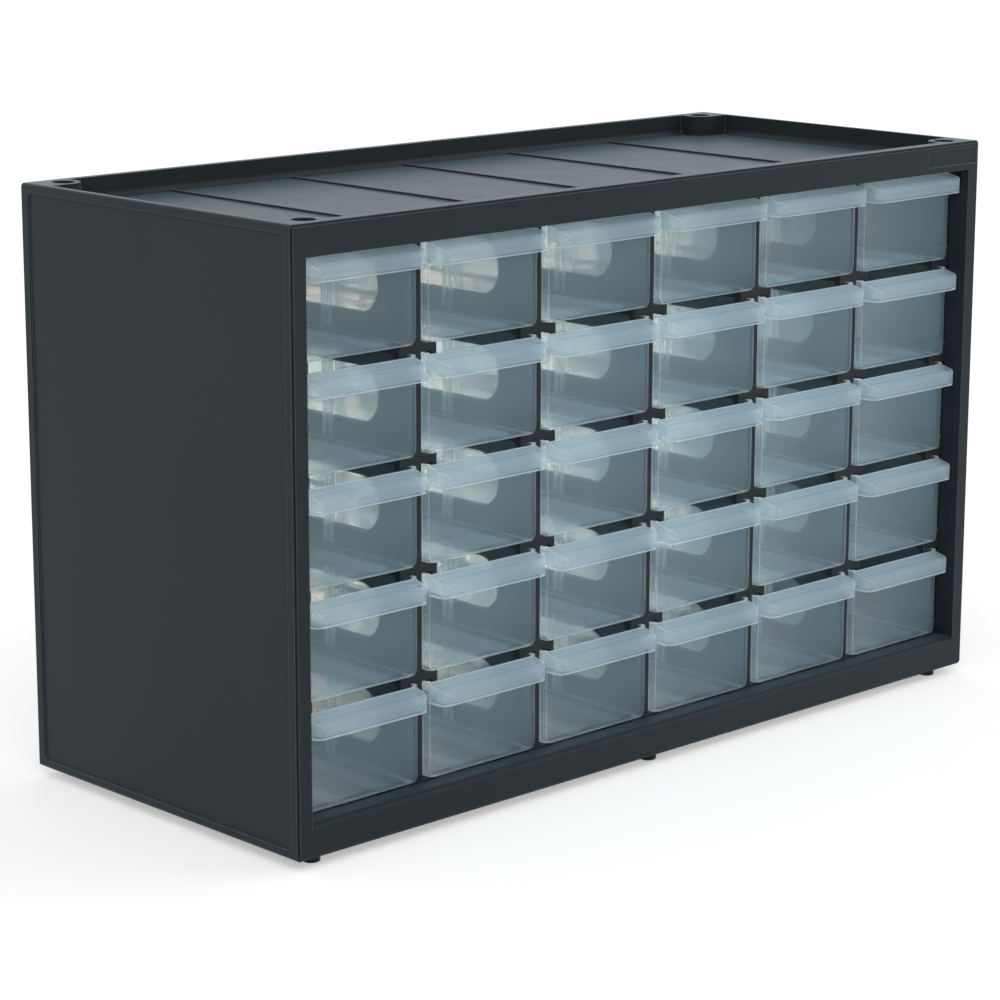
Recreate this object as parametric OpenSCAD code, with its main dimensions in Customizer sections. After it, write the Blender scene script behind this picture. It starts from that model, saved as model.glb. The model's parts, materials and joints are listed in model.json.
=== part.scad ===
// Parts bin cabinet: a moulded case with a tray on top and a grid of pull-out drawers.
// The cabinet stands on its studs at z = 0. The drawers open towards -Y, and X = 0 is the middle.

/* [Cabinet] */
// Width over the case
body_w = 365; // [340:1:400]
// Depth from the front frame's face to the rear edge
body_d = 151; // [140:1:180]
// Height of the case without its studs
body_h = 220.5; // [210:0.5:240]
// Thickness of the outer walls
wall_t = 2.6; // [2.2:0.1:3.4]
// Radius of the case's long outer edges
edge_r = 1.4; // [1:0.1:4]
// Depth of the recessed field in each side wall
field_depth = 0.8; // [0.4:0.1:1.2]
// Width of the raised border round a side field
field_border = 3.2; // [2.5:0.1:8]
// Corner radius of a side field
field_r = 3; // [2:0.5:10]

/* [Tray] */
// Depth of the tray below the rim
tray_depth = 8.5; // [6:0.5:10]
// Thickness of the tray floor
tray_floor_t = 2.4; // [2:0.1:3]
// Width of the tray rim along the sides and the back
rim_w = 3; // [2.6:0.1:5]
// Width of the tray rim along the front, behind the front frame
front_rim_w = 2.4; // [2:0.1:4]
// Radius where the tray floor meets its walls
tray_fillet = 2.5; // [1:0.5:4]
// Height of the ridges on the tray floor, one over each divider
ridge_h = 0.9; // [0.5:0.1:1.5]
// Width of a ridge
ridge_w = 1.4; // [1:0.1:3]

/* [Stacking] */
// Height of the studs under the case
stud_h = 4; // [3:0.5:5.5]
// Diameter of a stud
stud_d = 6.4; // [5.4:0.1:8]
// Diameter of the sockets that take the studs of another cabinet
socket_d = 8.6; // [8.2:0.1:9.4]
// Depth of a socket
socket_depth = 6; // [5.6:0.1:7]
// Wall left round a socket
socket_wall = 2; // [1.5:0.1:3]
// Distance of the studs and sockets from the side of the case
stud_inset_x = 12.7; // [11:0.1:20]
// Distance of the studs and sockets from the front and the back
stud_inset_y = 8.3; // [8:0.1:12]
// Chamfer at the foot of a stud
stud_chamfer = 0.3; // [0.2:0.1:1]

/* [Front frame] */
// Thickness of the frame's face plate
frame_t = 3; // [2.4:0.1:3.6]
// Width of the upright stiles
stile_w = 6.5; // [6:0.1:9]
// How far the top rail hangs below the case's ceiling
head_step = 0.5; // [0.2:0.1:1.5]
// Height of the sill below the drawers
sill_h = 12.3; // [10:0.1:16]
// Thickness of the frame's inner lining
lining_t = 1.6; // [1.2:0.1:2]
// Step from the face plate's opening out to the lining
lining_step = 0.5; // [0.3:0.1:0.8]
// Radius of the sill's front edge
sill_r = 2.5; // [0.8:0.1:2.9]
// Thickness of the case's lip that wraps the face plate
lap_t = 0.8; // [0.6:0.1:1.2]
// How far the lip stays behind the frame's face
lap_setback = 0.8; // [0.5:0.1:1.2]
// Length of the bare name field on the top rail
plaque_w = 31; // [20:1:50]
// Height of the bare name field
plaque_h = 6.4; // [4:0.1:8]
// Depth of the bare name field
plaque_depth = 0.4; // [0.2:0.1:0.8]
// Distance of the name field from the right side of the frame
plaque_inset = 1.8; // [1.5:0.1:20]
// Distance of the name field from the top of the frame
plaque_drop = 2.5; // [2:0.1:4]

/* [Drawers] */
// Number of drawers side by side
columns = 6; // [5:1:7]
// Number of drawers one above the other
rows = 5; // [4:1:6]
// Gap between a drawer and the one above it
row_gap = 4.25; // [4:0.05:5]
// Gap between the sill and the lowest drawers
sill_gap = 1.15; // [0.8:0.05:1.6]
// Gap between the highest drawers and the top rail
head_gap = 1.65; // [1:0.05:2.5]
// Gap between a drawer and the divider beside it
side_gap = 0.45; // [0.3:0.05:0.8]
// Distance from the frame's face back to the drawer fronts
front_setback = 7.8; // [6:0.1:9]
// Gap between a closed drawer and the back panel
rear_gap = 0.6; // [0.4:0.1:2]
// Thickness of a drawer's front
front_t = 1.6; // [1.2:0.1:1.9]
// Thickness of a drawer's other walls
side_t = 1.3; // [1:0.1:1.6]
// How far a drawer's other walls rise above its front
side_rise = 0.7; // [0.3:0.05:0.7]
// Thickness of a drawer's floor
floor_t = 1.4; // [1:0.1:2]
// Radius of a drawer's long lower edges
keel_r = 3; // [1.8:0.1:4]
// Radius of a drawer's upright front edges
front_r = 2; // [1.8:0.1:3]
// Radius of a drawer's upright rear edges
rear_r = 3; // [1.8:0.1:5]

/* [Drawer details] */
// Distance from the frame's face back to the handle's lip
lip_setback = 0.3; // [0:0.1:1]
// Height of the handle's lip
lip_h = 5.4; // [4.5:0.1:8]
// Drop of the handle's roof from the drawer front to the lip
roof_drop = 2; // [1:0.1:3]
// Thickness of the handle
handle_t = 1.4; // [1.2:0.1:1.8]
// How far each end of the handle stands in from the drawer's side
handle_inset = 1.3; // [1:0.1:4]
// Radius between the handle's roof and its lip
crease_r = 2.7; // [2:0.1:3.2]
// Corner radius of the handle seen from above
handle_r = 3.6; // [2:0.1:4.5]
// Number of places where a separator can stand
slots = 2; // [1:1:3]
// Gap between the two ribs that hold a separator
slot_w = 1.8; // [1.4:0.1:2.4]
// Width of a separator rib
rib_w = 1.4; // [1:0.1:2]
// How far a separator rib stands out of the wall
rib_reach = 1.1; // [0.8:0.1:1.4]
// How far the separator ribs stay below the rim
rib_drop = 4.4; // [2.5:0.1:8]
// Height of the two strips along the drawer floor
strip_h = 0.5; // [0.3:0.1:1]
// Distance from the middle of the floor to a strip
strip_x = 7.7; // [5:0.1:12]
// Width of a strip
strip_w = 6.5; // [4:0.1:10]

/* [Dividers] */
// Thickness of a divider
divider_t = 2.6; // [2:0.1:3.2]
// Depth of the grooves that hold a divider at its foot and its head
groove_depth = 1.1; // [0.8:0.1:1.3]
// Clearance of a divider in its grooves
groove_gap = 0.15; // [0.1:0.05:0.3]
// How far a runner stands out of the divider
runner_reach = 7.4; // [6:0.1:9]
// Thickness of a runner
runner_t = 2.8; // [2:0.1:3.2]
// Gap between a drawer and the runner below it
run_gap = 0.45; // [0.3:0.05:0.7]
// How far the stop tab hangs below its runner
tab_drop = 1.5; // [1.3:0.1:1.8]
// Length of a stop tab from front to back
tab_l = 3.2; // [2.5:0.1:5]
// Gap between a closed drawer's front and the stop tabs behind it
tab_gap = 0.4; // [0.3:0.05:0.8]
// Width of the channel that lets a drawer's side pass a tab
channel_w = 4.8; // [4:0.1:5]
// Height of the case's side guides above a drawer's underside
guide_rise = 4; // [3:0.5:8]
// Height of the window in a divider
window_h = 20.6; // [12:0.1:22]
// Height of the window's lower edge above a drawer's underside
window_rise = 7.6; // [5:0.1:9]
// Distance from the dividers' front edge back to a window
window_setback = 19.4; // [15:0.1:30]
// Distance from the dividers' front edge back to the tall rear part of a window
bay_setback = 68; // [60:1:80]
// Distance from the back panel to a window's rear end
bay_end = 3; // [2.5:0.5:12]
// Height of the plate left between a runner and the tall part of a window
bay_margin = 1; // [0.8:0.1:2]
// Corner radius of the tall part of a window
bay_r = 4; // [2:0.5:6]

/* [Back panel] */
// Thickness of the back panel
back_t = 2; // [1.6:0.1:3]
// Clearance round the back panel
back_gap = 0.15; // [0.1:0.05:0.3]
// How far the back panel stands in from the rear edge
back_inset = 0.4; // [0.2:0.1:1]
// Width of the bars between the openings of the back panel
bar_w = 6; // [5:0.5:14]
// Corner radius of an opening in the back panel
opening_r = 5; // [2:0.5:8]

/* [Hidden] */
$fn = 48;
arc_steps = 8;
cut = 1;

// Planes of the case, front to back and bottom to top
front_y = -body_d / 2;
rear_y = body_d / 2;
base_z = stud_h;
top_z = base_z + body_h;
deck_z = top_z - tray_depth;
ceiling_z = deck_z - tray_floor_t;
floor_z = base_z + wall_t;
side_x = body_w / 2;
inner_x = side_x - wall_t;

// Front frame
seat_gap = 0.2;
shell_front_y = front_y + frame_t + seat_gap;
opening_x = side_x - stile_w;
sill_z = base_z + sill_h;
head_z = ceiling_z - head_step;
lap_gap = 0.1;
plate_inset = lap_t + lap_gap;
plate_r = max(edge_r - plate_inset, 0.4);

// Grid of drawers
column_pitch = 2 * opening_x / columns;
row_pitch = (head_z - head_gap + row_gap - sill_z - sill_gap) / rows;
drawer_w = column_pitch - divider_t - 2 * side_gap;
drawer_h = row_pitch - row_gap;
wall_h = drawer_h + min(side_rise, row_gap - run_gap - runner_t - 0.3);
drawer_front_y = front_y + front_setback;
runner_y = drawer_front_y + front_t + tab_gap;
lining_end_y = runner_y - 2 * seat_gap;
back_face_y = rear_y - back_inset - back_t;
guide_end_y = back_face_y - seat_gap;
drawer_rear_y = back_face_y - rear_gap;
lip_y = front_y + lip_setback;
handle_w = drawer_w - 2 * handle_inset;

case_color = "#3b4044";
frame_color = "#363b3f";
inner_color = "#34383b";
drawer_color = "#9fb0b8";

function column_x(col) = -opening_x + column_pitch * (col - 0.5);
function divider_x(index) = -opening_x + column_pitch * index;
function row_z(row) = sill_z + sill_gap + row_pitch * (rows - row);
function runner_top(row) = min(row_z(row) - run_gap, ceiling_z - seat_gap);
function runner_low(row) = row_z(row) - run_gap - runner_t;
function drawer_name(row, col) = str("drawer_r", row, "c", col);
function divider_name(index) = str("divider_", index);

// Points on an arc from angle a0 to angle a1
function arc(centre, r, a0, a1) =
    [for (i = [0:arc_steps]) let (a = a0 + (a1 - a0) * i / arc_steps) centre + r * [cos(a), sin(a)]];

// A fillet of radius r at corner p between the ways to a and b, as points
function fillet(a, p, b, r) =
    let (
        u = (a - p) / norm(a - p),
        v = (b - p) / norm(b - p),
        half = acos(u * v) / 2,
        m = (u + v) / norm(u + v),
        centre = p + m * r / sin(half),
        start = p + u * r / tan(half) - centre,
        end = p + v * r / tan(half) - centre,
        a0 = atan2(start[1], start[0]),
        turn = atan2(end[1], end[0]) - a0,
        sweep = turn > 180 ? turn - 360 : turn < -180 ? turn + 360 : turn
    )
    arc(centre, r, a0, a0 + sweep);

// ---- Extrusions along each axis; the outline is drawn in the other two axes ----

module along_x(x0, x1) {
    translate([x0, 0, 0]) rotate([90, 0, 90]) linear_extrude(x1 - x0) children();
}

module along_y(y0, y1) {
    translate([0, y1, 0]) rotate([90, 0, 0]) linear_extrude(y1 - y0) children();
}

module along_z(z0, z1) {
    translate([0, 0, z0]) linear_extrude(z1 - z0) children();
}

// ---- Outlines ----

module rectangle(low, high) {
    translate(low) square(high - low);
}

module rounded_rectangle(low, high, r) {
    rectangle([low[0] + r, low[1]], [high[0] - r, high[1]]);
    rectangle([low[0], low[1] + r], [high[0], high[1] - r]);
    for (x = [low[0] + r, high[0] - r], y = [low[1] + r, high[1] - r])
        translate([x, y]) circle(r);
}

// A slot with round ends
module slot(low, high) {
    r = (high[1] - low[1]) / 2;
    rectangle([low[0] + r, low[1]], [high[0] - r, high[1]]);
    for (x = [low[0] + r, high[0] - r])
        translate([x, low[1] + r]) circle(r);
}

// ---- Outer shell ----

module tray_pocket() {
    low = front_y + frame_t + seat_gap + front_rim_w;
    high = rear_y - rim_w;
    reach = side_x - rim_w;
    intersection() {
        along_y(low, high)
            rounded_rectangle([-reach, deck_z], [reach, top_z + 3 * tray_fillet], tray_fillet);
        along_x(-reach, reach)
            rounded_rectangle([low, deck_z], [high, top_z + 3 * tray_fillet], tray_fillet);
        along_z(deck_z, top_z + cut)
            rounded_rectangle([-reach, low], [reach, high], tray_fillet);
    }
}

// Corner block that carries a stacking socket, drawn for the right rear corner
module socket_block() {
    reach = socket_d / 2 + socket_wall;
    centre = [side_x - stud_inset_x, rear_y - stud_inset_y];
    along_z(deck_z - cut / 2, top_z) {
        translate(centre) circle(reach);
        rectangle([centre[0] - reach, centre[1]], [side_x - rim_w + cut, rear_y - rim_w + cut]);
        rectangle([centre[0], centre[1] - reach], [side_x - rim_w + cut, rear_y - rim_w + cut]);
    }
}

module at_each_corner() {
    for (mx = [0, 1], my = [0, 1])
        mirror([mx, 0, 0]) mirror([0, my, 0]) children();
}

module stud_places() {
    for (x = [-1, 0, 1], y = [-1, 1])
        translate([x * (side_x - stud_inset_x), y * (rear_y - stud_inset_y), 0]) children();
}

module stud() {
    r = stud_d / 2;
    cylinder(h = stud_chamfer, r1 = r - stud_chamfer, r2 = r);
    translate([0, 0, stud_chamfer]) cylinder(h = stud_h - stud_chamfer + wall_t / 2, r = r);
}

// Runners and side guides on the case's own side walls, drawn for the right side
module wall_runners() {
    root = opening_x - divider_t / 2;
    tip = root - runner_reach;
    for (row = [0:rows]) {
        low = runner_low(row);
        top = row == 0 ? ceiling_z + cut / 2 : runner_top(row);
        along_y(runner_y, guide_end_y) {
            rectangle([tip, low], [inner_x + cut / 2, top]);
            rectangle([root, low], [inner_x + cut / 2, row == 0 ? top : row_z(row) + guide_rise]);
        }
        along_y(runner_y, runner_y + tab_l)
            rectangle([tip, low - tab_drop], [root - channel_w, (low + top) / 2]);
    }
}

module shell_body() {
    difference() {
        union() {
            along_y(front_y + lap_setback, rear_y)
                rounded_rectangle([-side_x, base_z], [side_x, top_z], edge_r);
            stud_places() stud();
        }
        // seat of the face plate, inside the thin lip
        along_y(front_y - cut, shell_front_y)
            rounded_rectangle(
                [-side_x + lap_t, base_z + lap_t], [side_x - lap_t, top_z - lap_t],
                max(edge_r - lap_t, 0.4)
            );
        // room for the drawers
        along_y(front_y - cut, rear_y + cut)
            rectangle([-inner_x, floor_z], [inner_x, ceiling_z]);
        difference() {
            tray_pocket();
            at_each_corner() socket_block();
        }
        for (x = [-1, 1], y = [-1, 1])
            translate([x * (side_x - stud_inset_x), y * (rear_y - stud_inset_y), top_z - socket_depth])
                cylinder(h = socket_depth + cut, r = socket_d / 2);
        // room in the tray for the middle studs of a cabinet stacked on top
        for (y = [-1, 1])
            translate([0, y * (rear_y - stud_inset_y), deck_z])
                cylinder(h = tray_depth + cut, r = socket_d / 2);
        // recessed fields in the side walls
        for (side = [0, 1])
            mirror([side, 0, 0])
                along_x(side_x - field_depth, side_x + cut)
                    rounded_rectangle(
                        [front_y + lap_setback + field_border, base_z + field_border],
                        [rear_y - field_border, top_z - field_border],
                        field_r
                    );
        // grooves that hold the dividers
        for (i = [1:columns - 1])
            along_y(runner_y - groove_gap, rear_y + cut)
                translate([divider_x(i), 0]) {
                    w = divider_t / 2 + groove_gap;
                    rectangle([-w, floor_z - groove_depth], [w, floor_z + cut]);
                    rectangle([-w, ceiling_z - cut], [w, ceiling_z + groove_depth]);
                }
    }
}

module tray_ridges() {
    low = front_y + frame_t + seat_gap + front_rim_w / 2;
    high = rear_y - rim_w / 2;
    for (i = [1:columns - 1])
        along_y(low, high)
            translate([divider_x(i), 0])
                rectangle([-ridge_w / 2, deck_z - cut / 2], [ridge_w / 2, deck_z + ridge_h]);
}

module outer_shell() {
    color(case_color) {
        shell_body();
        tray_ridges();
        for (side = [0, 1])
            mirror([side, 0, 0]) wall_runners();
    }
}

// ---- Front frame ----

module frame_plate() {
    difference() {
        along_y(front_y, front_y + frame_t)
            rounded_rectangle(
                [-side_x + plate_inset, base_z + plate_inset],
                [side_x - plate_inset, top_z - plate_inset],
                plate_r
            );
        along_y(front_y - cut, front_y + frame_t + cut)
            rectangle([-opening_x, sill_z], [opening_x, head_z]);
        // bare name field at the right end of the top rail
        along_y(front_y - cut, front_y + plaque_depth)
            rounded_rectangle(
                [side_x - plaque_inset - plaque_w, top_z - plaque_drop - plaque_h],
                [side_x - plaque_inset, top_z - plaque_drop],
                1
            );
        // round front edge of the sill
        along_x(-opening_x, opening_x)
            difference() {
                rectangle([front_y - cut, sill_z - sill_r], [front_y + sill_r, sill_z + cut]);
                translate([front_y + sill_r, sill_z - sill_r]) circle(sill_r);
            }
    }
}

// Lining of the opening: two cheeks and the shelf behind the sill
module frame_lining() {
    cheek_x = opening_x + lining_step;
    start_y = front_y + frame_t - cut / 2;
    for (side = [0, 1])
        mirror([side, 0, 0])
            along_y(start_y, lining_end_y)
                rectangle([cheek_x, sill_z - lining_t], [cheek_x + lining_t, ceiling_z - seat_gap]);
    along_y(start_y, lining_end_y)
        rectangle([-cheek_x - lining_t, sill_z - lining_t], [cheek_x + lining_t, sill_z]);
}

module front_frame() {
    color(frame_color) {
        frame_plate();
        frame_lining();
    }
}

// ---- Dividers ----

// A window beside one row: a slot with a round front end that runs back into a tall bay
module window(row) {
    bay_y = runner_y + bay_setback;
    low_z = row_z(row) + window_rise;
    slot([runner_y + window_setback, low_z], [bay_y + window_h, low_z + window_h]);
    rounded_rectangle(
        [bay_y, row_z(row) - run_gap + bay_margin],
        [back_face_y - bay_end, runner_low(row - 1) - bay_margin],
        bay_r
    );
}

module divider_plate() {
    low_z = floor_z - groove_depth + groove_gap;
    high_z = ceiling_z + groove_depth - groove_gap;
    along_x(-divider_t / 2, divider_t / 2)
        difference() {
            rectangle([runner_y, low_z], [guide_end_y, high_z]);
            for (row = [1:rows])
                window(row);
        }
}

// Runners and stop tabs on one side of a divider
module divider_runners() {
    root = divider_t / 2;
    tip = root + runner_reach;
    for (row = [0:rows]) {
        low = runner_low(row);
        top = runner_top(row);
        along_y(runner_y, guide_end_y)
            rectangle([0, low], [tip, top]);
        along_y(runner_y, runner_y + tab_l)
            rectangle([root + channel_w, low - tab_drop], [tip, (low + top) / 2]);
    }
}

module divider(index) {
    color(inner_color)
        translate([divider_x(index), 0, 0]) {
            divider_plate();
            divider_runners();
            mirror([1, 0, 0]) divider_runners();
        }
}

// ---- Back panel ----

module back_panel() {
    reach = inner_x - back_gap;
    low_z = floor_z + back_gap;
    high_z = ceiling_z - back_gap;
    color(inner_color)
        along_y(back_face_y, back_face_y + back_t)
            difference() {
                rectangle([-reach, low_z], [reach, high_z]);
                for (row = [1:rows], col = [1:columns])
                    translate([column_x(col), row_z(row) + drawer_h / 2])
                        rounded_rectangle(
                            [-column_pitch / 2 + bar_w / 2, -row_pitch / 2 + bar_w / 2],
                            [column_pitch / 2 - bar_w / 2, row_pitch / 2 - bar_w / 2],
                            opening_r
                        );
            }
}

// ---- Drawers ----

// Upright outline of a drawer: flat top, rounded lower corners
module tub_section(w, h, r) {
    x = w / 2;
    polygon(concat(
        [[-x, h]],
        arc([-x + r, r], r, 180, 270),
        arc([x - r, r], r, 270, 360),
        [[x, h]]
    ));
}

// Outline of a drawer seen from above
module tub_plan(w, y0, y1, r0, r1) {
    x = w / 2;
    polygon(concat(
        arc([-x + r0, y0 + r0], r0, 180, 270),
        arc([x - r0, y0 + r0], r0, 270, 360),
        arc([x - r1, y1 - r1], r1, 0, 90),
        arc([-x + r1, y1 - r1], r1, 90, 180)
    ));
}

module tub(w, y0, y1, h, r, r0, r1) {
    intersection() {
        along_y(y0, y1) tub_section(w, h, r);
        along_z(0, h) tub_plan(w, y0, y1, r0, r1);
    }
}

module drawer_tub() {
    post_x = drawer_w / 2 - front_r;
    difference() {
        tub(drawer_w, drawer_front_y, drawer_rear_y, wall_h, keel_r, front_r, rear_r);
        translate([0, 0, floor_t])
            tub(
                drawer_w - 2 * side_t, drawer_front_y + front_t, drawer_rear_y - side_t, wall_h,
                keel_r - side_t, front_r - side_t, rear_r - side_t
            );
        // lower front between the corner posts
        along_z(drawer_h, wall_h + cut)
            rectangle([-post_x, drawer_front_y - cut], [post_x, drawer_front_y + front_t + cut]);
    }
}

// Solid hood of the handle, shrunk by an inset: its side outline cut by its plan
module hood(inset, low_z) {
    slope = roof_drop / (drawer_front_y - lip_y);
    root_y = drawer_front_y + front_t / 2;
    roof_z = drawer_h - inset * norm([1, slope]);
    y = lip_y + inset;
    x = handle_w / 2 - inset;
    crease_z = roof_z - slope * (drawer_front_y - y);
    intersection() {
        along_x(-x, x)
            polygon(concat(
                [[root_y, roof_z], [drawer_front_y, roof_z]],
                fillet([drawer_front_y, roof_z], [y, crease_z], [y, low_z], crease_r - inset),
                [[y, low_z], [root_y, low_z]]
            ));
        along_z(low_z, drawer_h)
            polygon(concat(
                [[x, root_y], [-x, root_y]],
                fillet([-x, root_y], [-x, y], [x, y], handle_r - inset),
                fillet([-x, y], [x, y], [x, root_y], handle_r - inset)
            ));
    }
}

module handle() {
    lip_z = drawer_h - roof_drop - lip_h;
    difference() {
        hood(0, lip_z);
        difference() {
            hood(handle_t, lip_z - cut);
            translate([-drawer_w / 2, drawer_front_y, 0]) cube([drawer_w, front_t, drawer_h]);
        }
    }
}

// Ribs in pairs on both side walls, where a separator can stand
module separator_ribs() {
    wall_x = drawer_w / 2 - side_t;
    room = drawer_rear_y - drawer_front_y;
    for (i = [1:slots], pair = [-1, 1], side = [-1, 1])
        translate([
            side * (wall_x - (rib_reach - side_t / 2) / 2),
            drawer_front_y + room * i / (slots + 1) + pair * (slot_w + rib_w) / 2,
            (floor_t + drawer_h - rib_drop) / 2
        ])
            cube([rib_reach + side_t / 2, rib_w, drawer_h - rib_drop - floor_t], center = true);
}

module floor_strips() {
    length = drawer_rear_y - drawer_front_y - side_t;
    for (side = [0, 1])
        mirror([side, 0, 0])
            translate([strip_x, drawer_front_y + front_t / 2, floor_t / 2])
                cube([strip_w, length, floor_t / 2 + strip_h]);
}

module drawer(row, col) {
    color(drawer_color)
        translate([column_x(col), 0, row_z(row)]) {
            drawer_tub();
            handle();
            separator_ribs();
            floor_strips();
        }
}

// ---- What is drawn ----

outer_shell();
front_frame();
back_panel();
for (i = [1:columns - 1])
    divider(i);
for (row = [1:rows], col = [1:columns])
    drawer(row, col);
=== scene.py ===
"""Looks of the parts bin cabinet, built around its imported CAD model.

The case, its frame, its dividers and its back panel are the CAD's own solids with
their edges softened. The drawers are built anew as surfaces worked out with numpy,
in the space of their CAD solids, in a milky see-through plastic.
The drawers' fields and surfaces are in millimetres, everything else is in metres.
"""

import json
import logging
import math
from dataclasses import dataclass, field
from enum import Enum

import bpy
import numpy as np
from mathutils import Matrix, Vector


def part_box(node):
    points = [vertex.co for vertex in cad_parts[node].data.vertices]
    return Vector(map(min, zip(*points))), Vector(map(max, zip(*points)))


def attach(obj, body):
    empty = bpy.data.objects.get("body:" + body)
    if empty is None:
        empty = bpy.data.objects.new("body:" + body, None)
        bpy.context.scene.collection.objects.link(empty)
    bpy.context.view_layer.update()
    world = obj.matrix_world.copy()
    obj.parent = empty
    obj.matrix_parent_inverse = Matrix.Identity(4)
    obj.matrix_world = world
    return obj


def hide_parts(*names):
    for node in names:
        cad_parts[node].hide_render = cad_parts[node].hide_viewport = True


LOG = logging.getLogger("parts_cabinet")
MM = 0.001
CABINET = "cabinet"
HAZE = "haze"
EVEN = (1.0, 1.0, 1.0)
AIM = Vector((0, 0, 0.1))

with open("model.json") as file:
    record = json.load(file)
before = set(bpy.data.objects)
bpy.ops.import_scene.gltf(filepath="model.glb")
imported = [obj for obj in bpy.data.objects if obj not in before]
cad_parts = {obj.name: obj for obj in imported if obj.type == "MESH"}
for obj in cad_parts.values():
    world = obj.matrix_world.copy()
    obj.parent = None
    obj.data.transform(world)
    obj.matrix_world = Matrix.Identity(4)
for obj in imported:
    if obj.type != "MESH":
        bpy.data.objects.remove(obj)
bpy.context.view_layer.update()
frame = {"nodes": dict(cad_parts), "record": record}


class Ray(Enum):
    """The Light Path outputs that tell what looks at a surface."""

    CAMERA = "Is Camera Ray"
    GLOSSY = "Is Glossy Ray"
    TRANSMISSION = "Is Transmission Ray"


class Slot(Enum):
    """The material slots of the record."""

    CASE = "case_plastic"
    FRAME = "frame_plastic"
    INNER = "inner_plastic"
    DRAWER = "drawer_plastic"


# ---- Node trees ----


def add_node(tree: bpy.types.NodeTree, kind: str, **values: object) -> bpy.types.Node:
    """Adds a node and sets its properties and its unlinked inputs.

    Args:
        tree: The tree to add to.
        kind: Blender's name of the node type.
        values: Properties by attribute name, or inputs by name with "_" for " ".

    Returns:
        The new node.
    """
    node = tree.nodes.new(kind)
    for name, value in values.items():
        if hasattr(node, name):
            setattr(node, name, value)
        else:
            node.inputs[name.replace("_", " ")].default_value = value
    return node


def any_ray(tree: bpy.types.NodeTree, rays: tuple[Ray, ...]) -> bpy.types.NodeSocket:
    """Gives a socket that is 1 where any of these rays looks.

    Args:
        tree: The tree to add to.
        rays: The kinds of ray that count.

    Returns:
        The socket with the highest of the rays' outputs.
    """
    path = add_node(tree, "ShaderNodeLightPath")
    out = path.outputs[rays[0].value]
    for ray in rays[1:]:
        most = add_node(tree, "ShaderNodeMath", operation="MAXIMUM")
        tree.links.new(out, most.inputs[0])
        tree.links.new(path.outputs[ray.value], most.inputs[1])
        out = most.outputs[0]
    return out


def object_noise(
    tree: bpy.types.NodeTree, scale: float, detail: float, stretch: tuple[float, float, float]
) -> bpy.types.NodeSocket:
    """Gives the value of a noise over the Object coordinates.

    Args:
        tree: The tree to add to.
        scale: Noise scale, in cells per metre.
        detail: Octaves of the noise.
        stretch: Scale of the pattern along each axis.

    Returns:
        The noise value's socket.
    """
    coordinates = add_node(tree, "ShaderNodeTexCoord")
    mapping = add_node(tree, "ShaderNodeMapping", Scale=stretch)
    noise = add_node(tree, "ShaderNodeTexNoise", Scale=scale, Detail=detail)
    tree.links.new(coordinates.outputs["Object"], mapping.inputs["Vector"])
    tree.links.new(mapping.outputs["Vector"], noise.inputs["Vector"])
    return noise.outputs["Fac"]


def remap(
    tree: bpy.types.NodeTree, value: bpy.types.NodeSocket, low: float, high: float
) -> bpy.types.NodeSocket:
    """Spreads the middle of a noise's range from low to high.

    Args:
        tree: The tree to add to.
        value: The noise.
        low: Result where the noise is at 0.3.
        high: Result where the noise is at 0.7.

    Returns:
        The result's socket.
    """
    spread = add_node(
        tree, "ShaderNodeMapRange", From_Min=0.3, From_Max=0.7, To_Min=low, To_Max=high
    )
    tree.links.new(value, spread.inputs["Value"])
    return spread.outputs["Result"]


def slant(tree: bpy.types.NodeTree, power: float, share: float) -> bpy.types.NodeSocket:
    """Gives share x (1 - cosine of the viewing angle) ^ power: high where seen at a slant.

    Args:
        tree: The tree to add to.
        power: How late it rises.
        share: Its highest value.

    Returns:
        The result's socket.
    """
    facing = add_node(tree, "ShaderNodeLayerWeight", Blend=0.5)
    steep = add_node(tree, "ShaderNodeMath", operation="POWER")
    steep.inputs[1].default_value = power
    tree.links.new(facing.outputs["Facing"], steep.inputs[0])
    scaled = add_node(tree, "ShaderNodeMath", operation="MULTIPLY")
    scaled.inputs[1].default_value = share
    tree.links.new(steep.outputs[0], scaled.inputs[0])
    return scaled.outputs[0]


def blend(
    tree: bpy.types.NodeTree,
    share: bpy.types.NodeSocket,
    colour: bpy.types.NodeSocket,
    other: tuple[float, float, float],
) -> bpy.types.NodeSocket:
    """Mixes a colour with a fixed one.

    Args:
        tree: The tree to add to.
        share: Share of the fixed colour.
        colour: The first colour.
        other: The fixed colour.

    Returns:
        The mixed colour's socket.
    """
    mix = add_node(tree, "ShaderNodeMix", data_type="RGBA")
    tree.links.new(share, mix.inputs[0])
    tree.links.new(colour, mix.inputs[6])
    mix.inputs[7].default_value = (*other, 1)
    return mix.outputs[2]


# ---- Finishes ----


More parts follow.
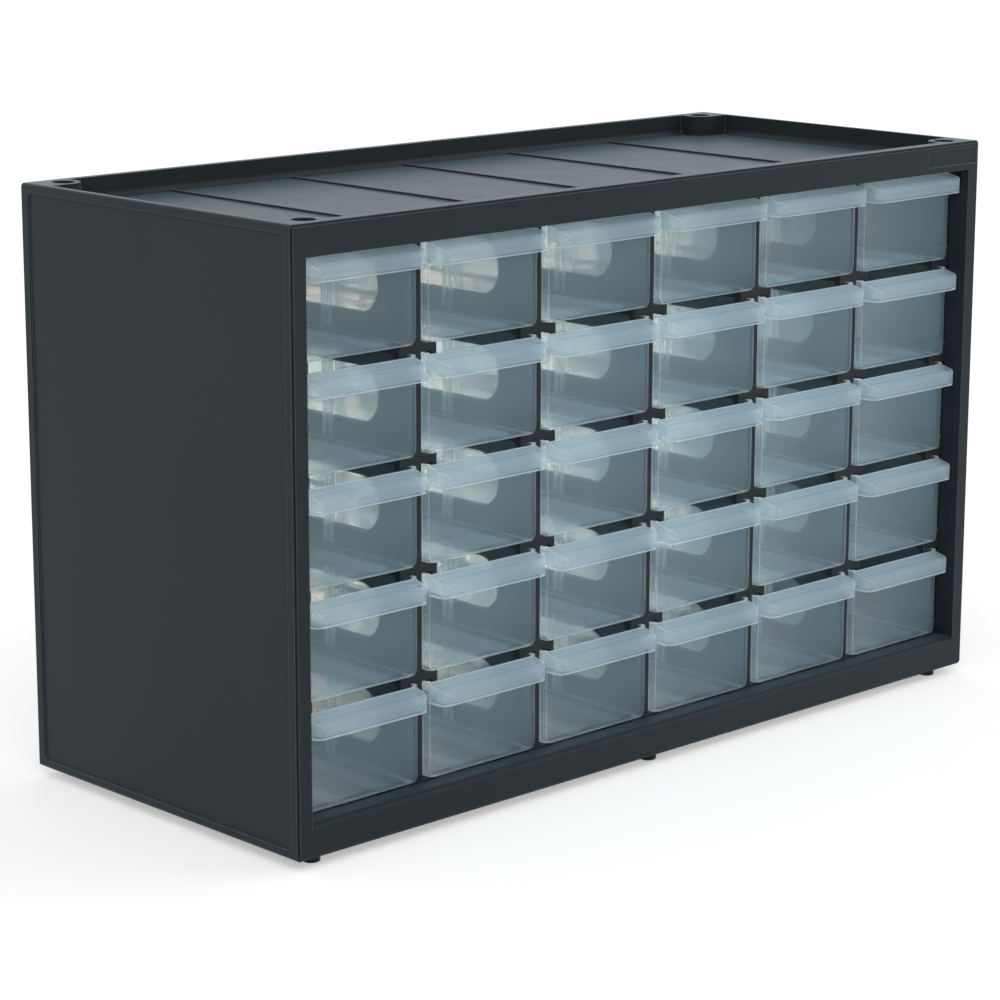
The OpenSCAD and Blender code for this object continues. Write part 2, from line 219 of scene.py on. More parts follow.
@dataclass(frozen=True)
class MouldedPlastic:
    """Satin moulded plastic: even colour, faint flow shading, fine grain, softened edges with a
    painted pale highlight, and a painted bluish sheen where seen at a slant.
    """

    name: str
    colour: tuple[float, float, float]
    roughness: float = 0.38
    gloss: float = 0.1
    shade: float = 0.08
    grain_scale: float = 2600.0
    grain_height: float = 0.00002
    edge_r: float = 0.00045
    edge_samples: int = 6
    # Painted highlight: a pale colour mixed into the edges, standing in for light that rounded
    # edges catch.
    edge_highlight_colour: tuple[float, float, float] = (0.17, 0.20, 0.22)
    edge_highlight_share: float = 0.9
    # Painted sheen: a bluish colour mixed in where the surface is seen at a slant, standing in
    # for reflection of the white surroundings.
    sheen_colour: tuple[float, float, float] = (0.16, 0.25, 0.31)
    sheen_share: float = 0.65
    sheen_power: float = 4.0
    flow_scale: float = 9.0
    wear_scale: float = 60.0
    rough_swing: float = 0.03
    grain_strength: float = 0.35
    flat_dot: float = 0.99
    edge_dot: float = 0.72

    def make(self) -> bpy.types.Material:
        """Builds the material: shaded colour with a painted highlight on the edges and a painted
        sheen at a slant, varied roughness, grain over rounded edges.

        Returns:
            The new material.
        """
        material = bpy.data.materials.new(self.name)
        material.use_nodes = True
        tree = material.node_tree
        shader = tree.nodes["Principled BSDF"]
        flow = remap(tree, object_noise(tree, self.flow_scale, 3.0, (1.0, 1.0, 0.5)), 0, 1)
        ramp = add_node(tree, "ShaderNodeValToRGB")
        for stop, share in zip(ramp.color_ramp.elements, (1 - self.shade, 1 + self.shade)):
            stop.color = (*(c * share for c in self.colour), 1)
        tree.links.new(flow, ramp.inputs["Fac"])
        edges = add_node(tree, "ShaderNodeBevel", samples=self.edge_samples, Radius=self.edge_r)
        # Painted highlight: the colour turns pale along the edges, on outer and hollow edges
        # alike.
        edge_lit = blend(
            tree,
            self.highlight_mask(tree, edges.outputs["Normal"]),
            ramp.outputs["Color"],
            self.edge_highlight_colour,
        )
        # Painted sheen: the colour turns bluish where the surface is seen at a slant.
        sheen = slant(tree, self.sheen_power, self.sheen_share)
        sheened = blend(tree, sheen, edge_lit, self.sheen_colour)
        tree.links.new(sheened, shader.inputs["Base Color"])
        shader.inputs["Specular IOR Level"].default_value = self.gloss
        wear = object_noise(tree, self.wear_scale, 2.0, EVEN)
        swing = self.rough_swing
        rough = remap(tree, wear, self.roughness - swing, self.roughness + swing)
        tree.links.new(rough, shader.inputs["Roughness"])
        grain = object_noise(tree, self.grain_scale, 1.0, EVEN)
        bump = add_node(
            tree, "ShaderNodeBump", Distance=self.grain_height, Strength=self.grain_strength
        )
        tree.links.new(grain, bump.inputs["Height"])
        tree.links.new(edges.outputs["Normal"], bump.inputs["Normal"])
        tree.links.new(bump.outputs["Normal"], shader.inputs["Normal"])
        return material

    def highlight_mask(
        self, tree: bpy.types.NodeTree, rounded: bpy.types.NodeSocket
    ) -> bpy.types.NodeSocket:
        """Finds the edges, where the colour gets its painted highlight: there the rounded normal
        turns away from the surface's own.

        Args:
            tree: The tree to add to.
            rounded: The rounded normal.

        Returns:
            The painted highlight's mask socket, up to its highest share on a square edge.
        """
        own = add_node(tree, "ShaderNodeNewGeometry")
        turn = add_node(tree, "ShaderNodeVectorMath", operation="DOT_PRODUCT")
        tree.links.new(rounded, turn.inputs[0])
        tree.links.new(own.outputs["Normal"], turn.inputs[1])
        mask = add_node(
            tree,
            "ShaderNodeMapRange",
            From_Min=self.flat_dot,
            From_Max=self.edge_dot,
            To_Min=0,
            To_Max=self.edge_highlight_share,
        )
        tree.links.new(turn.outputs["Value"], mask.inputs["Value"])
        return mask.outputs["Result"]


@dataclass(frozen=True)
class MilkyPlastic:
    """See-through milky plastic: clear face on, whiter at a slant, where it is thick, and along
    painted highlight lines.
    """

    name: str
    colour: tuple[float, float, float]
    thick_and_highlight_colour: tuple[float, float, float] = (0.93, 0.96, 0.97)
    tint: tuple[float, float, float] = (1.0, 0.996, 0.984)
    haze: float = 0.08
    slant_haze: float = 0.2
    edge_haze: float = 0.65
    glow: float = 0.6
    roughness: float = 0.22
    rough_swing: float = 0.04
    haze_swing: float = 0.1
    slant_power: float = 4.0
    cloud_scale: float = 90.0
    flow_scale: float = 35.0
    bend: float = 1.49

    def make(self) -> bpy.types.Material:
        """Builds the material: haze over clear plastic, lit from the front and from behind.

        Returns:
            The new material.
        """
        material = bpy.data.materials.new(self.name)
        material.use_nodes = True
        tree = material.node_tree
        shader = tree.nodes["Principled BSDF"]
        thick = add_node(tree, "ShaderNodeAttribute", attribute_name=HAZE).outputs["Fac"]
        thin = add_node(tree, "ShaderNodeRGB").outputs[0]
        thin.default_value = (*self.colour, 1)
        # Whiter where the haze attribute is high: thick plastic, and the painted highlight lines.
        milk_colour = blend(tree, thick, thin, self.thick_and_highlight_colour)
        tree.links.new(milk_colour, shader.inputs["Base Color"])
        shader.inputs["IOR"].default_value = self.bend
        cloud = object_noise(tree, self.cloud_scale, 2.0, (1.0, 1.0, 0.4))
        swing = self.rough_swing
        rough = remap(tree, cloud, self.roughness - swing, self.roughness + swing)
        tree.links.new(rough, shader.inputs["Roughness"])
        behind = add_node(tree, "ShaderNodeBsdfTranslucent")
        tree.links.new(milk_colour, behind.inputs["Color"])
        milk = add_node(tree, "ShaderNodeMixShader", Fac=self.glow)
        tree.links.new(shader.outputs["BSDF"], milk.inputs[1])
        tree.links.new(behind.outputs["BSDF"], milk.inputs[2])
        clear = add_node(tree, "ShaderNodeBsdfTransparent", Color=(*self.tint, 1))
        body = add_node(tree, "ShaderNodeMixShader")
        tree.links.new(self.opacity(tree, thick), body.inputs["Fac"])
        tree.links.new(clear.outputs["BSDF"], body.inputs[1])
        tree.links.new(milk.outputs["Shader"], body.inputs[2])
        tree.links.new(body.outputs["Shader"], tree.nodes["Material Output"].inputs["Surface"])
        return material

    def opacity(
        self, tree: bpy.types.NodeTree, thick: bpy.types.NodeSocket
    ) -> bpy.types.NodeSocket:
        """Adds up the haze of the wall, of the slant and of the thick places.

        Args:
            tree: The tree to add to.
            thick: How thick the plastic looks, painted highlight lines included, from 0 to 1.

        Returns:
            The opacity's socket.
        """
        flow = object_noise(tree, self.flow_scale, 2.0, (1.0, 1.0, 0.25))
        swing = self.haze_swing
        wall = remap(tree, flow, self.haze * (1 - swing), self.haze * (1 + swing))
        seen = add_node(tree, "ShaderNodeMath", operation="ADD")
        tree.links.new(slant(tree, self.slant_power, self.slant_haze), seen.inputs[0])
        tree.links.new(wall, seen.inputs[1])
        alpha = add_node(tree, "ShaderNodeMath", operation="MULTIPLY_ADD", use_clamp=True)
        alpha.inputs[1].default_value = self.edge_haze
        tree.links.new(thick, alpha.inputs[0])
        tree.links.new(seen.outputs[0], alpha.inputs[2])
        return alpha.outputs[0]


CASE_PLASTICS = {
    Slot.CASE: MouldedPlastic("case_satin", (0.024, 0.031, 0.036)),
    Slot.FRAME: MouldedPlastic("frame_satin", (0.021, 0.027, 0.032), roughness=0.36),
    Slot.INNER: MouldedPlastic(
        "inner_satin", (0.024, 0.029, 0.033), roughness=0.45, edge_highlight_share=0.25, sheen_share=0.3
    ),
}
DRAWER_PLASTIC = MilkyPlastic("drawer_milky", (0.48, 0.73, 0.89))


# ---- Surfaces ----


@dataclass
class Surface:
    """A closed surface under construction, with how thick the plastic looks at each point,
    painted highlight lines included.
    """

    points: np.ndarray
    faces: list[tuple[int, ...]]
    haze: np.ndarray

    def mirrored(self) -> "Surface":
        """Gives the surface mirrored in X, with its faces turned to point outwards again."""
        points = self.points * np.array([-1.0, 1.0, 1.0])
        return Surface(points, [face[::-1] for face in self.faces], self.haze)


def joined(parts: list[Surface]) -> Surface:
    """Puts several surfaces into one.

    Args:
        parts: The surfaces.

    Returns:
        One surface with all the points and faces.
    """
    starts = np.cumsum([0] + [len(part.points) for part in parts[:-1]])
    faces = [
        tuple(int(i + start) for i in face)
        for part, start in zip(parts, starts)
        for face in part.faces
    ]
    points = np.concatenate([part.points for part in parts])
    return Surface(points, faces, np.concatenate([part.haze for part in parts]))


def grid_faces(numbers: np.ndarray, closed: bool = False) -> list[tuple[int, ...]]:
    """Quads over a grid of point numbers; each turns from its row towards the next.

    A quad joins (i, j), (i, j+1), (i+1, j+1) and (i+1, j), so that it faces along
    the column direction crossed with the row direction.

    Args:
        numbers: Point numbers, rows by columns.
        closed: True if the last column meets the first one.

    Returns:
        The quads.
    """
    after = np.roll(numbers, -1, axis=1) if closed else numbers[:, 1:]
    before = numbers if closed else numbers[:, :-1]
    quads = np.stack([before[:-1], after[:-1], after[1:], before[1:]], axis=-1)
    return [tuple(quad) for quad in quads.reshape(-1, 4).tolist()]


def rounded_ring(
    half_x: float, front: float, rear: float, front_r: float, rear_r: float, steps: int
) -> np.ndarray:
    """Outline of a rounded rectangle seen from above, counterclockwise.

    Each corner is centre + r (cos a, sin a), with a over its own quarter turn.

    Args:
        half_x: Half of its width.
        front: Y of its front side.
        rear: Y of its rear side.
        front_r: Radius of its two front corners.
        rear_r: Radius of its two rear corners.
        steps: Steps in each quarter turn.

    Returns:
        Points, (4 (steps + 1), 2).
    """
    turn = np.linspace(0, math.pi / 2, steps + 1)
    corners = (
        (-half_x + front_r, front + front_r, front_r, math.pi),
        (half_x - front_r, front + front_r, front_r, 1.5 * math.pi),
        (half_x - rear_r, rear - rear_r, rear_r, 0.0),
        (-half_x + rear_r, rear - rear_r, rear_r, 0.5 * math.pi),
    )
    return np.concatenate(
        [
            np.stack([x + r * np.cos(turn + a), y + r * np.sin(turn + a)], axis=1)
            for x, y, r, a in corners
        ]
    )


def prism(outline: np.ndarray, low: float, high: float, haze: float) -> Surface:
    """An outline carried straight up, closed at both ends.

    Args:
        outline: Points counterclockwise seen from above, (n, 2).
        low: Z of its foot.
        high: Z of its top.
        haze: How thick the plastic looks.

    Returns:
        The closed surface.
    """
    count = len(outline)
    levels = [np.column_stack([outline, np.full(count, z)]) for z in (low, high)]
    numbers = np.arange(2 * count).reshape(2, count)
    faces = grid_faces(numbers, closed=True)
    faces += [tuple(numbers[0][::-1].tolist()), tuple(numbers[1].tolist())]
    return Surface(np.concatenate(levels), faces, np.full(2 * count, haze))


# ---- Drawers ----

# Heights of the rings over the tub's rounded lower edge.
LOW_RINGS = np.array([0, 0.06, 0.2, 0.4, 0.6, 0.9, 1.2, 1.45, 1.9, 2.4, 3.0])
# How thick the plastic looks over the lower edge, with a painted highlight line where it turns
# under: heights, and the haze at each.
LOW_HEIGHTS, LOW_HAZE_AND_HIGHLIGHT = (0, 0.06, 0.2, 0.4, 0.6, 0.9), (1, 0.9, 0.6, 0.3, 0.1, 0)
# The same round the two front corners, step by step; their length is the drawer's steps + 1. On
# the right corner it peaks as a painted highlight line down the edge.
LEFT_CORNER_HAZE = (0.5, 0.3, 0.25, 0.3, 0.25, 0.6, 0.1)
RIGHT_CORNER_HAZE_AND_HIGHLIGHT = (0, 0, 0.3, 0.9, 0.3, 0, 0)
# Columns of the handle's roof, as shares of its half width.
ROOF_ACROSS = np.array([-1, -0.985, -0.66, -0.33, 0, 0.33, 0.66, 0.985, 1])
# Rows of the handle's wall, as shares of its way down.
WALL_DOWN = np.array([0.06, 0.3, 0.6, 0.93, 1.0])
# Points of the quarter turn at the handle's lip.
LIP_POINTS = 9


@dataclass
class Drawer:
    """One translucent drawer, in its own place around X = 0 with its underside at Z = 0.

    The haze fields say how thick the plastic looks, from 0 to 1; on the lower edge, the right
    front corner and the handle's edges they also paint highlight lines.
    """

    width: float
    height: float
    front: float
    rear: float
    lip: float
    front_t: float = 1.6
    side_t: float = 1.3
    floor_t: float = 1.4
    keel_r: float = 3.0
    front_r: float = 2.0
    rear_r: float = 3.0
    foot_r: float = 0.6
    rim_r: float = 0.45
    inner_r: float = 0.9
    lip_h: float = 5.4
    roof_drop: float = 2.0
    handle_t: float = 1.4
    handle_inset: float = 1.3
    side_rise: float = 0.7
    crease_r: float = 2.7
    handle_r: float = 3.6
    least_r: float = 0.5
    post_gap: float = 0.15
    slots: int = 2
    slot_w: float = 1.8
    rib_w: float = 1.4
    rib_reach: float = 1.1
    rib_drop: float = 4.4
    rib_tip: float = 0.6
    rib_foot: float = 0.6
    strip_h: float = 0.5
    strip_x: float = 7.7
    strip_w: float = 6.5
    strip_r: float = 0.4
    strip_foot: float = 0.7
    steps: int = 6
    front_haze: float = 0.3
    rim_haze: float = 1.0
    rim_foot_haze: float = 0.25
    hood_haze: float = 0.47
    crease_haze: float = 0.3
    cheek_haze: float = 0.4
    hood_edge_haze_and_highlight: float = 0.9
    lip_low_haze: float = 0.2
    rib_haze: float = 0.5
    strip_haze: float = 0.1

    def tub(self) -> Surface:
        """Builds the tub as one closed surface: rings carried up outside and down inside.

        A ring at height z is a rounded rectangle. Its sides stand in by
        keel_r - sqrt(keel_r^2 - (keel_r - z)^2) below keel_r, and its front and rear by the
        same with foot_r, so that the long lower edges are rounder than the cross ones.

        Returns:
            The tub.
        """

        def roll(z: float, r: float) -> float:
            """How far a rounded lower edge of radius r stands in at height z."""
            rest = np.clip(r - z, 0, r)
            return float(r - np.sqrt(r * r - rest * rest))

        half = self.width / 2
        top = self.height + self.side_rise
        arc = np.linspace(0, math.pi / 2, self.steps + 1)
        under = self.keel_r + 1.0
        rings = [(half - under, self.front + under, self.rear - under, 0.0, 0.0)]
        haze = [0.0]
        for z in LOW_RINGS:
            side, end = roll(z, self.keel_r), roll(z, self.foot_r)
            rings.append((half - side, self.front + end, self.rear - end, 0.0, z))
            # Partly thickness, partly a painted highlight line along the lower edge.
            haze.append(float(np.interp(z, LOW_HEIGHTS, LOW_HAZE_AND_HIGHLIGHT)))
        for a in arc:
            step = self.rim_r * (1 - math.cos(a))
            z = top - self.rim_r * (1 - math.sin(a))
            rings.append((half - step, self.front + step, self.rear - step, step, z))
            haze.append(self.rim_foot_haze if a == arc[0] else self.rim_haze)
        for a in arc:
            step = self.rim_r * (1 - math.sin(a))
            z = top - self.rim_r * (1 - math.cos(a))
            rings.append((
                half - self.side_t + step,
                self.front + self.front_t - step,
                self.rear - self.side_t + step,
                self.side_t - step,
                z,
            ))
            haze.append(self.rim_foot_haze if a == arc[-1] else self.rim_haze)
        keel = self.keel_r - self.side_t
        for z in LOW_RINGS[::-1] * keel / self.keel_r:
            side, end = roll(z, keel), roll(z, self.inner_r)
            rings.append((
                half - self.side_t - side,
                self.front + self.front_t + end,
                self.rear - self.side_t - end,
                self.side_t,
                self.floor_t + z,
            ))
            haze.append(0.0)
        points = np.stack([self.ring(*ring) for ring in rings])
        rows, count = points.shape[:2]
        numbers = np.arange(rows * count).reshape(rows, count)
        faces = grid_faces(numbers, closed=True)
        faces += [tuple(numbers[0][::-1].tolist()), tuple(numbers[-1].tolist())]
        corner = np.zeros(count)
        corner[: self.steps + 1] = LEFT_CORNER_HAZE
        # Painted highlight: a pale line down the right front corner, on top of its thickness.
        corner[self.steps + 3 : 2 * self.steps + 4] = RIGHT_CORNER_HAZE_AND_HIGHLIGHT
        last = len(LOW_RINGS) + len(arc)
        outside = np.arange(rows) <= last
        thick = np.maximum(np.array(haze)[:, None], outside[:, None] * corner[None, :])
        shown, face = slice(1, last + 1), slice(self.steps, self.steps + 4)
        thick[shown, face] = np.maximum(thick[shown, face], self.front_haze)
        return Surface(points.reshape(-1, 3), faces, thick.ravel())

    def ring(self, x: float, front: float, rear: float, inset: float, z: float) -> np.ndarray:
        """One ring of the tub; above the middle its front dips by side_rise between the corners.

        Args:
            x: Half of its width.
            front: Y of its front side.
            rear: Y of its rear side.
            inset: How far the corners' radii shrink.
            z: Its height.

        Returns:
            Points counterclockwise, (n, 3).
        """
        front_r = max(self.front_r - min(inset, self.side_t), self.least_r)
        rear_r = max(self.rear_r - inset, self.least_r)
        plan = rounded_ring(x, front, rear, front_r, rear_r, self.steps)
        post = x - front_r - self.post_gap
        plan = np.insert(plan, self.steps + 1, [[-post, front], [post, front]], axis=0)
        level = np.full(len(plan), z)
        if z > self.height / 2:
            level[self.steps + 1 : self.steps + 3] -= self.side_rise
        return np.column_stack([plan, level])

    def hood_side(self, inset: float) -> tuple[np.ndarray, np.ndarray]:
        """Works out one side of the handle's wall: its roof and the wall below the roof's edge.

        The roof falls by roof_drop from the drawer's front to the lip, and turns down into
        the lip round a circle of crease_r. At depth d behind the lip its half width is
        w - r + sqrt(r^2 - (r - d)^2), with r = handle_r, so that its plan has round corners.

        Args:
            inset: Depth below the handle's outer side.

        Returns:
            Roof points (rows, columns, 3) and wall points (rows, perimeter, 3).
        """
        slope = self.roof_drop / (self.front - self.lip)
        lip = self.lip + inset
        crease, corner = self.crease_r - inset, self.handle_r - inset
        arc = np.linspace(math.pi / 2, 0, LIP_POINTS)
        near = lip + corner * (1 - np.cos(arc))
        root = self.front + self.front_t * 0.5
        y = np.concatenate([np.linspace(root, near[0], 4)[:-1], near])
        stretch = math.hypot(1, slope)
        line = self.height - inset * stretch - slope * (self.front - y)
        line = np.minimum(line, self.height - inset * stretch)
        middle_y = lip + crease
        middle_z = (
            self.height
            - inset * stretch
            - slope * (self.front - middle_y)
            - crease * stretch
        )
        turned = middle_z + np.sqrt(np.clip(crease**2 - (y - middle_y) ** 2, 0, None))
        z = np.where(y < middle_y - crease * slope / stretch, turned, line)
        half = self.width / 2 - self.handle_inset - inset
        depth = np.clip(corner - (y - lip), 0, corner)
        reach = half - corner + np.sqrt(corner**2 - depth**2)
        roof = np.stack(
            [
                reach[:, None] * ROOF_ACROSS,
                np.repeat(y[:, None], len(ROOF_ACROSS), axis=1),
                np.repeat(z[:, None], len(ROOF_ACROSS), axis=1),
            ],
            axis=-1,
        )
        edge = np.concatenate([roof[:, 0], roof[-1, 1:-1], roof[::-1, -1]])
        foot = self.height - self.roof_drop - self.lip_h
        wall = np.repeat(edge[None], len(WALL_DOWN), axis=0)
        wall[..., 2] = edge[:, 2] + WALL_DOWN[:, None] * (foot - edge[:, 2])
        return roof, wall

    def hood(self) -> Surface:
        """Builds the handle: an outer and an inner hood of the same grid, joined at their rims.

        Returns:
            The closed surface of the handle.
        """
        sides = [self.hood_side(0.0), self.hood_side(self.handle_t)]
        rows, columns = sides[0][0].shape[:2]
        steps, perimeter = sides[0][1].shape[:2]
        one = rows * columns + steps * perimeter
        roof = np.arange(rows * columns).reshape(rows, columns)
        edge = np.concatenate([roof[:, 0], roof[-1, 1:-1], roof[::-1, -1]])
        wall = np.vstack([edge, rows * columns + np.arange(steps * perimeter).reshape(steps, -1)])
        outer = grid_faces(roof.T) + grid_faces(wall.T)
        inner = [tuple(i + one for i in face[::-1]) for face in outer]
        loop = np.concatenate([roof[0], wall[1:, -1], wall[-1, -2::-1], wall[-2:0:-1, 0]])
        rim = grid_faces(np.stack([loop, loop + one]), closed=True)
        points = np.concatenate([part.reshape(-1, 3) for side in sides for part in side])
        haze = np.full(len(points), self.hood_haze)
        lip_depth = sides[0][0][-LIP_POINTS:, 0, 1] - self.lip
        crease = rows - LIP_POINTS + int(np.argmin(np.abs(lip_depth - self.crease_r)))
        for start in (0, one):
            haze[start + roof[crease]] = self.crease_haze
            haze[start + wall[1:, : rows - LIP_POINTS + 1]] = self.cheek_haze
            # Partly thickness seen edge on, partly a painted highlight line along the lip's lower
            # edge and the cheeks' top edges.
            haze[start + wall[-1]] = self.hood_edge_haze_and_highlight
            haze[start + wall[-2]] = self.lip_low_haze
            haze[start + roof[:, [0, -1]]] = self.hood_edge_haze_and_highlight
        return Surface(points, outer + inner + rim, haze)

    def ribs(self) -> list[Surface]:
        """Builds the pairs of upright ribs on both side walls, where a separator can stand."""
        wall = self.width / 2 - self.side_t
        root = wall + self.side_t / 2
        room = self.rear - self.front
        turn = np.linspace(-math.pi / 2, math.pi / 2, self.steps + 1)
        tip_r = self.rib_w / 2 * self.rib_tip
        foot, top = self.floor_t * self.rib_foot, self.height - self.rib_drop
        made = []
        for i in range(1, self.slots + 1):
            middle = self.front + room * i / (self.slots + 1)
            for pair in (-1, 1):
                y = middle + pair * (self.slot_w + self.rib_w) / 2
                nose = np.stack(
                    [
                        wall - self.rib_reach + tip_r - tip_r * np.cos(turn),
                        y - np.sin(turn) * self.rib_w / 2,
                    ],
                    axis=1,
                )
                ends = np.array([[root, y - self.rib_w / 2], [root, y + self.rib_w / 2]])
                rib = prism(np.concatenate([ends, nose]), foot, top, self.rib_haze)
                made += [rib, rib.mirrored()]
        return made

    def strips(self) -> list[Surface]:
        """Builds the two low strips along the drawer's floor."""
        start = self.front + self.front_t * self.strip_foot
        end = self.rear - self.side_t * self.strip_foot
        outline = rounded_ring(self.strip_w / 2, start, end, self.strip_r, self.strip_r, 3)
        outline[:, 0] += self.strip_x + self.strip_w / 2
        foot, top = self.floor_t * self.strip_foot, self.floor_t + self.strip_h
        strip = prism(outline, foot, top, self.strip_haze)
        return [strip, strip.mirrored()]

    def surface(self) -> Surface:
        """Puts the tub, the handle, the ribs and the strips into one surface."""
        return joined([self.tub(), self.hood(), *self.ribs(), *self.strips()])


def mesh_of(name: str, surface: Surface, place: Vector, sharp: float) -> bpy.types.Mesh:
    """Makes a mesh of a surface, moved to its place.

    Args:
        name: The mesh's name.
        surface: The surface, in millimetres.
        place: Where its origin goes, in metres.
        sharp: Angle in degrees past which an edge is shaded sharp.

    Returns:
        The new mesh, with its haze in an attribute.
    """
    mesh = bpy.data.meshes.new(name)
    points = surface.points * MM + np.array(place)
    mesh.from_pydata(points.tolist(), [], surface.faces)
    mesh.polygons.foreach_set("use_smooth", np.ones(len(mesh.polygons), bool))
    mesh.set_sharp_from_angle(angle=math.radians(sharp))
    haze = mesh.attributes.new(HAZE, "FLOAT", "POINT")
    haze.data.foreach_set("value", surface.haze.astype(np.float32))
    mesh.update()
    return mesh


def show(
    mesh: bpy.types.Mesh,
    name: str,
    finish: bpy.types.Material,
    body: str,
    node: str,
) -> bpy.types.Object:
    """Shows a mesh as a piece that stands for a CAD node.

    Args:
        mesh: The mesh, in place.
        name: The piece's name.
        finish: Its material.
        body: The CAD body that it rides on.
        node: The CAD node that it stands for.

    Returns:
        The new object.
    """
    piece = bpy.data.objects.new(name, mesh)
    bpy.context.scene.collection.objects.link(piece)
    mesh.materials.clear()
    mesh.materials.append(finish)
    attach(piece, body)
    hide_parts(node)
    LOG.info("%s: %d faces, rides on %s", name, len(mesh.polygons), body)
    return piece


@dataclass
class DrawerBank:
    """The grid of drawers. Each is built in the box of its own CAD node."""

    rows: int = 5
    columns: int = 6
    front_setback: float = 7.5
    side_rise: float = 0.7
    sharp: float = 38.0
    finish: MilkyPlastic = DRAWER_PLASTIC
    shared: dict[tuple[float, ...], Surface] = field(default_factory=dict)

    def build(self) -> tuple[bpy.types.Object, ...]:
        """Builds every drawer, each riding on its own body.

        Returns:
            The drawers' pieces, row by row.
        """
        material = self.finish.make()
        return tuple(
            self.build_one(row, column, material)
            for row in range(1, self.rows + 1)
            for column in range(1, self.columns + 1)
        )

    def build_one(self, row: int, column: int, material: bpy.types.Material) -> bpy.types.Object:
        """Builds one drawer.

        Args:
            row: Row from the top, from 1.
            column: Column from the left, from 1.
            material: The drawers' material.

        Returns:
            The drawer's piece.
        """
        node = f"drawer_r{row}c{column}"
        low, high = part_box(node)
        size = tuple(round(v, 4) for v in (*(high - low) / MM, low.y / MM))
        if size not in self.shared:
            lip = size[3]
            self.shared[size] = Drawer(
                width=size[0],
                height=size[2] - self.side_rise,
                side_rise=self.side_rise,
                front=lip + self.front_setback,
                rear=lip + size[1],
                lip=lip,
            ).surface()
        place = Vector(((low.x + high.x) / 2, 0, low.z))
        name = f"bin_{row}_{column}"
        mesh = mesh_of(name, self.shared[size], place, self.sharp)
        return show(mesh, name, material, f"bin_r{row}c{column}", node)


# ---- Case ----


@dataclass
class Case:
    """The shell, the front frame, the dividers and the back panel: the CAD's own solids."""

    finishes: dict[Slot, MouldedPlastic] = field(default_factory=lambda: CASE_PLASTICS)

    def build(self) -> None:
        """Dresses every fixed part of the cabinet in the plastic of its slot in the record."""
        made = {slot: finish.make() for slot, finish in self.finishes.items()}
        for part in frame["record"]["subparts"]:
            slot = Slot(part["material_slot"])
            if slot in made:
                self.dress(part["node"], made[slot])

    def dress(self, node: str, finish: bpy.types.Material) -> None:
        """Gives a CAD node its material.

        Args:
            node: The node's name.
            finish: The material.
        """
        piece = frame["nodes"][node]
        for slot in piece.material_slots:
            slot.material = finish
        LOG.info("%s: %d slots, rides on %s", node, len(piece.material_slots), CABINET)


# ---- Studio ----


@dataclass(frozen=True)
class Lamp:
    """A square soft lamp that points at the cabinet."""

    name: str
    place: tuple[float, float, float]
    size: float
    power: float
    colour: tuple[float, float, float] = (1.0, 1.0, 1.0)

    def build(self, target: Vector, lit: tuple[bpy.types.Object, ...] = ()) -> None:
        """Adds the lamp.

        Args:
            target: The point that it faces.
            lit: The only pieces that it lights, or none to light everything.
        """
        data = bpy.data.lights.new(self.name, "AREA")
        data.size = self.size
        data.energy = self.power
        data.color = self.colour
        lamp = bpy.data.objects.new(self.name, data)
        lamp.visible_camera = False
        lamp.location = self.place
        lamp.rotation_euler = (target - Vector(self.place)).to_track_quat("-Z", "Y").to_euler()
        bpy.context.scene.collection.objects.link(lamp)
        if lit:
            group = bpy.data.collections.new(f"{self.name}_lit")
            for piece in lit:
                group.objects.link(piece)
            lamp.light_linking.receiver_collection = group


BACK_LAMP = Lamp("back", (0.52, 0.62, 0.1), 0.7, 52.0, (1.0, 0.82, 0.70))


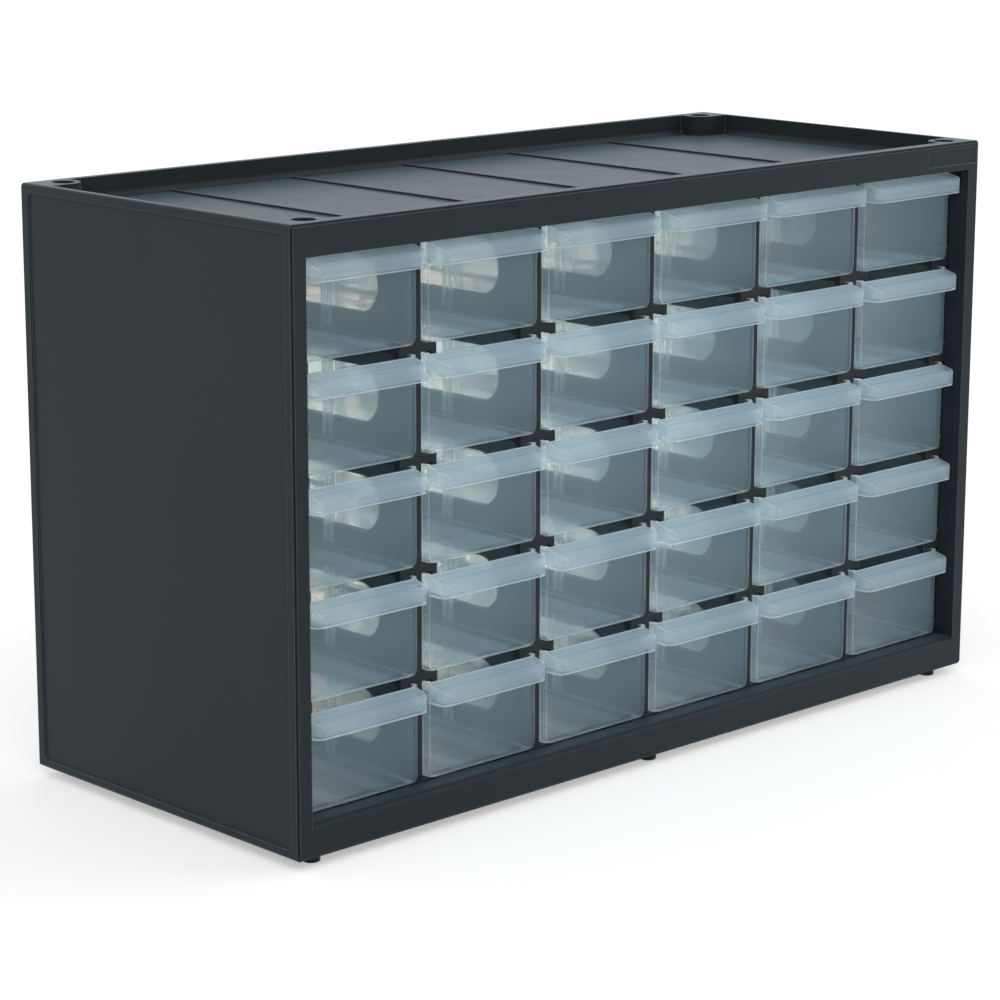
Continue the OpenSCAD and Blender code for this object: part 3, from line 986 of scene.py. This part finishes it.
@dataclass
class Studio:
    """Pale floor, white surroundings, soft lamps and the photograph's camera."""

    camera_place: tuple[float, float, float] = (-0.83965, -0.85971, 0.36797)
    camera_target: tuple[float, float, float] = (-0.01463, 0.00001, 0.09298)
    camera_roll: float = 0.130997
    focal_share: float = 3.135288
    sensor: float = 36.0
    surround: float = 0.6
    near_glow: float = 0.42
    far_glow: float = 0.5
    glow_from: float = 0.15
    glow_to: float = 0.6
    floor_r: float = 2.5
    floor_steps: int = 64
    floor_shade: float = 0.85
    floor_roughness: float = 0.9
    floor_gloss: float = 0.1
    clear_bounces: int = 48
    lamps: tuple[Lamp, ...] = (
        Lamp("key", (-1.6, -1.9, 2.2), 1.6, 22.0),
        Lamp("fill", (1.9, -1.6, 1.4), 1.8, 10.0),
    )

    def build(self) -> None:
        """Builds the whole studio."""
        self.build_camera()
        self.build_world()
        self.build_floor()
        for lamp in self.lamps:
            lamp.build(AIM)
        bpy.context.scene.view_settings.view_transform = "Standard"
        bpy.context.scene.cycles.transparent_max_bounces = self.clear_bounces

    def build_camera(self) -> None:
        """Adds the camera at the place that the photograph's straight edges give."""
        data = bpy.data.cameras.new("view")
        data.sensor_width = self.sensor
        data.lens = self.focal_share * self.sensor
        camera = bpy.data.objects.new("view", data)
        bpy.context.scene.collection.objects.link(camera)
        place, target = Vector(self.camera_place), Vector(self.camera_target)
        turn = (target - place).to_track_quat("-Z", "Y").to_matrix().to_4x4()
        roll = Matrix.Rotation(math.radians(self.camera_roll), 4, "Z")
        camera.matrix_world = Matrix.Translation(place) @ turn @ roll
        bpy.context.scene.camera = camera

    def build_world(self) -> None:
        """Makes surroundings that are white to look at and softer as a light."""
        world = bpy.data.worlds.new("studio")
        bpy.context.scene.world = world
        world.use_nodes = True
        tree = world.node_tree
        background = tree.nodes["Background"]
        background.inputs["Color"].default_value = (1, 1, 1, 1)
        seen = any_ray(tree, (Ray.CAMERA, Ray.GLOSSY, Ray.TRANSMISSION))
        strength = add_node(
            tree, "ShaderNodeMapRange", From_Min=0, From_Max=1, To_Min=self.surround, To_Max=1
        )
        tree.links.new(seen, strength.inputs["Value"])
        tree.links.new(strength.outputs["Result"], background.inputs["Strength"])

    def build_floor(self) -> None:
        """Lays a round pale floor that looks white and keeps the cabinet's shadow."""
        turn = np.linspace(0, 2 * math.pi, self.floor_steps + 1)[:-1]
        rim = np.stack([np.cos(turn), np.sin(turn), np.zeros_like(turn)], axis=1) * self.floor_r
        mesh = bpy.data.meshes.new("floor")
        mesh.from_pydata(rim.tolist(), [], [tuple(range(self.floor_steps))])
        floor = bpy.data.objects.new("floor", mesh)
        bpy.context.scene.collection.objects.link(floor)
        material = bpy.data.materials.new("floor_pale")
        material.use_nodes = True
        tree = material.node_tree
        shader = tree.nodes["Principled BSDF"]
        shader.inputs["Base Color"].default_value = (*(self.floor_shade,) * 3, 1)
        shader.inputs["Roughness"].default_value = self.floor_roughness
        shader.inputs["Specular IOR Level"].default_value = self.floor_gloss
        shader.inputs["Emission Color"].default_value = (1, 1, 1, 1)
        tree.links.new(self.floor_glow(tree), shader.inputs["Emission Strength"])
        mesh.materials.append(material)

    def floor_glow(self, tree: bpy.types.NodeTree) -> bpy.types.NodeSocket:
        """Makes the floor white to look at: a little near the cabinet, more behind it.

        Args:
            tree: The floor material's tree.

        Returns:
            The emission strength's socket.
        """
        seen = any_ray(tree, (Ray.CAMERA, Ray.GLOSSY, Ray.TRANSMISSION))
        place = add_node(tree, "ShaderNodeTexCoord")
        axes = add_node(tree, "ShaderNodeSeparateXYZ")
        tree.links.new(place.outputs["Object"], axes.inputs[0])
        rise = add_node(
            tree,
            "ShaderNodeMapRange",
            From_Min=self.glow_from,
            From_Max=self.glow_to,
            To_Min=self.near_glow,
            To_Max=self.far_glow,
        )
        tree.links.new(axes.outputs["Y"], rise.inputs["Value"])
        glow = add_node(tree, "ShaderNodeMath", operation="MULTIPLY")
        tree.links.new(seen, glow.inputs[0])
        tree.links.new(rise.outputs["Result"], glow.inputs[1])
        return glow.outputs[0]


def main() -> None:
    """Builds the studio and the cabinet's pieces in order."""
    logging.basicConfig(level=logging.INFO, format="%(name)s: %(message)s")
    Studio().build()
    Case().build()
    BACK_LAMP.build(AIM, DrawerBank().build())


if __name__ == "__main__":
    main()
